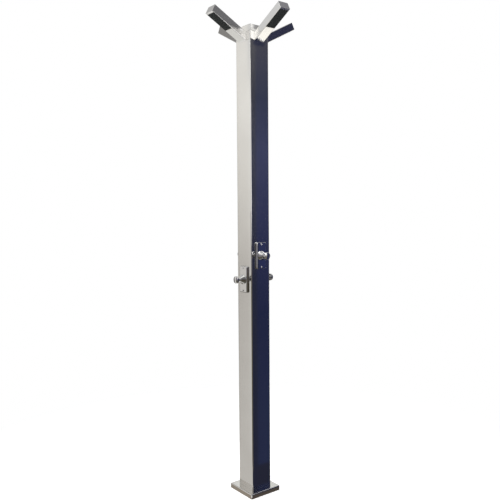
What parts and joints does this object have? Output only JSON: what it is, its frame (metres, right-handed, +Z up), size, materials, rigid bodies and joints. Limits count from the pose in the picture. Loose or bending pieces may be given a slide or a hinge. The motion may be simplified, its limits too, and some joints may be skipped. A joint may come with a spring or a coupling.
{
  "type": "shower column",
  "caption": "Free-standing square steel shower column with rising arms that carry spray panels, a push-button valve on each face and a covered base flange.",
  "frame": {"origin": "on the floor, at the middle of the base", "axes": "+Z up the column; the front face looks along -Y, the right face along +X"},
  "size_m": [0.5362, 0.5362, 2.5168],
  "materials": {
    "polished_steel": "polished stainless steel with a faint vertical grain",
    "plain_steel": "mill finish steel",
    "spring_steel": "bright spring wire",
    "chrome": "bright chrome plate on brass",
    "brass": "turned brass",
    "black_plastic": "moulded black plastic",
    "black_silicone": "soft black silicone",
    "black_rubber": "black rubber sheet",
    "black_screws": "blackened steel",
    "grey_plastic": "moulded grey plastic"
  },
  "bodies": {
    "column": {"column_tube": "polished_steel", "column_cap": "polished_steel", "base_flange": "plain_steel", "supply_riser": "plain_steel", "inlet_fitting": "brass", "plate_gaskets": "black_rubber", "stem_seals": "black_rubber", "plate_screws": "chrome", "head_screws": "black_screws", "pipe_nuts": "brass", "front_arm_tube": "polished_steel", "front_arm_end_cap": "polished_steel", "front_spray_frame": "black_plastic", "front_nozzle_pad": "black_silicone", "front_spray_chamber": "grey_plastic", "front_feed_pipe": "plain_steel", "front_valve_plate": "chrome", "front_valve_bonnet": "chrome", "front_return_spring": "spring_steel", "front_valve_body": "brass", "right_arm_tube": "polished_steel", "right_arm_end_cap": "polished_steel", "right_spray_frame": "black_plastic", "right_nozzle_pad": "black_silicone", "right_spray_chamber": "grey_plastic", "right_feed_pipe": "plain_steel", "right_valve_plate": "chrome", "right_valve_bonnet": "chrome", "right_return_spring": "spring_steel", "right_valve_body": "brass", "back_arm_tube": "polished_steel", "back_arm_end_cap": "polished_steel", "back_spray_frame": "black_plastic", "back_nozzle_pad": "black_silicone", "back_spray_chamber": "grey_plastic", "back_feed_pipe": "plain_steel", "back_valve_plate": "chrome", "back_valve_bonnet": "chrome", "back_return_spring": "spring_steel", "back_valve_body": "brass", "left_arm_tube": "polished_steel", "left_arm_end_cap": "polished_steel", "left_spray_frame": "black_plastic", "left_nozzle_pad": "black_silicone", "left_spray_chamber": "grey_plastic", "left_feed_pipe": "plain_steel", "left_valve_plate": "chrome", "left_valve_bonnet": "chrome", "left_return_spring": "spring_steel", "left_valve_body": "brass"},
    "base_cover": {"base_cover": "polished_steel"},
    "front_button": {"front_push_button": "chrome", "front_valve_spool": "brass"},
    "right_button": {"right_push_button": "chrome", "right_valve_spool": "brass"},
    "back_button": {"back_push_button": "chrome", "back_valve_spool": "brass"},
    "left_button": {"left_push_button": "chrome", "left_valve_spool": "brass"}
  },
  "joints": [
    {"name": "front_button_push", "type": "slide", "parent": "column", "child": "front_button", "axis": [0, 1, 0], "range_m": [0, 0.008], "stiffness_N_per_m": 1500, "springref_m": -0.004, "deforming": ["front_return_spring"]},
    {"name": "right_button_push", "type": "slide", "parent": "column", "child": "right_button", "axis": [-1, 0, 0], "range_m": [0, 0.008], "stiffness_N_per_m": 1500, "springref_m": -0.004, "deforming": ["right_return_spring"]},
    {"name": "back_button_push", "type": "slide", "parent": "column", "child": "back_button", "axis": [0, -1, 0], "range_m": [0, 0.008], "stiffness_N_per_m": 1500, "springref_m": -0.004, "deforming": ["back_return_spring"]},
    {"name": "left_button_push", "type": "slide", "parent": "column", "child": "left_button", "axis": [1, 0, 0], "range_m": [0, 0.008], "stiffness_N_per_m": 1500, "springref_m": -0.004, "deforming": ["left_return_spring"]},
    {"name": "base_cover_lift", "type": "slide", "parent": "column", "child": "base_cover", "axis": [0, 0, 1], "range_m": [0, 1.045]}
  ]
}
